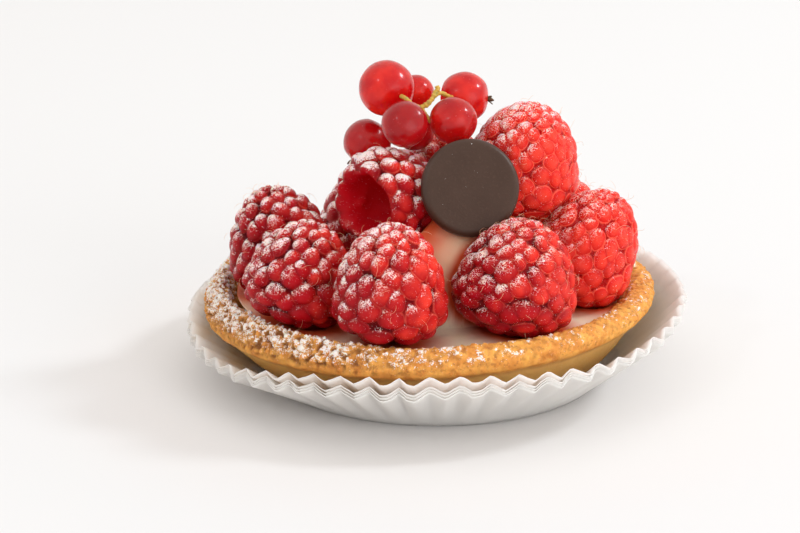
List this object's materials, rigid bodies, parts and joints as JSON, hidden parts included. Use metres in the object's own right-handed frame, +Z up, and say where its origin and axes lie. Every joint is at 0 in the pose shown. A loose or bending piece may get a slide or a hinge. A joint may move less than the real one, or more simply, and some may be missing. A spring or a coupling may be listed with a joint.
{
  "type": "raspberry tartlet",
  "caption": "Round shortcrust tartlet in nested pleated paper cases, filled with cream and piled with raspberries, a sprig of redcurrants and a plain chocolate disc.",
  "frame": {"origin": "centre of the flat base of the outer paper case, on the surface that the tartlet stands on", "axes": "+Z up out of the tartlet; -Y towards the side with the chocolate disc; +X to the right as seen from that side"},
  "size_m": [0.0999, 0.1, 0.0625],
  "materials": {
    "paper": "thin white greaseproof paper, pleated, matte, slightly translucent",
    "pastry": "golden-brown baked shortcrust, rough and crumbly, dusted with icing sugar",
    "cream": "smooth ivory cream with a soft satin surface",
    "raspberry": "moist translucent red drupelets with fine hairs and a dusting of icing sugar",
    "redcurrant": "glossy translucent bright red skin",
    "stalk": "dry yellow-green plant stem",
    "chocolate": "satin dark chocolate, unmarked"
  },
  "bodies": {
    "root": {"paper_case_1": "paper", "paper_case_2": "paper", "paper_case_3": "paper", "paper_case_4": "paper", "pastry_shell": "pastry", "cream_filling": "cream", "raspberry_left": "raspberry", "raspberry_front_left": "raspberry", "raspberry_front": "raspberry", "raspberry_front_right": "raspberry", "raspberry_right": "raspberry", "raspberry_back_right": "raspberry", "raspberry_back": "raspberry", "raspberry_back_left": "raspberry", "raspberry_top_right": "raspberry", "raspberry_top_left": "raspberry", "raspberry_top_back": "raspberry", "redcurrant_upper_left": "redcurrant", "redcurrant_upper_back": "redcurrant", "redcurrant_upper_right": "redcurrant", "redcurrant_middle": "redcurrant", "redcurrant_front": "redcurrant", "redcurrant_left": "redcurrant", "redcurrant_lower": "redcurrant", "currant_sprig": "stalk", "chocolate_disc": "chocolate"}
  },
  "joints": []
}
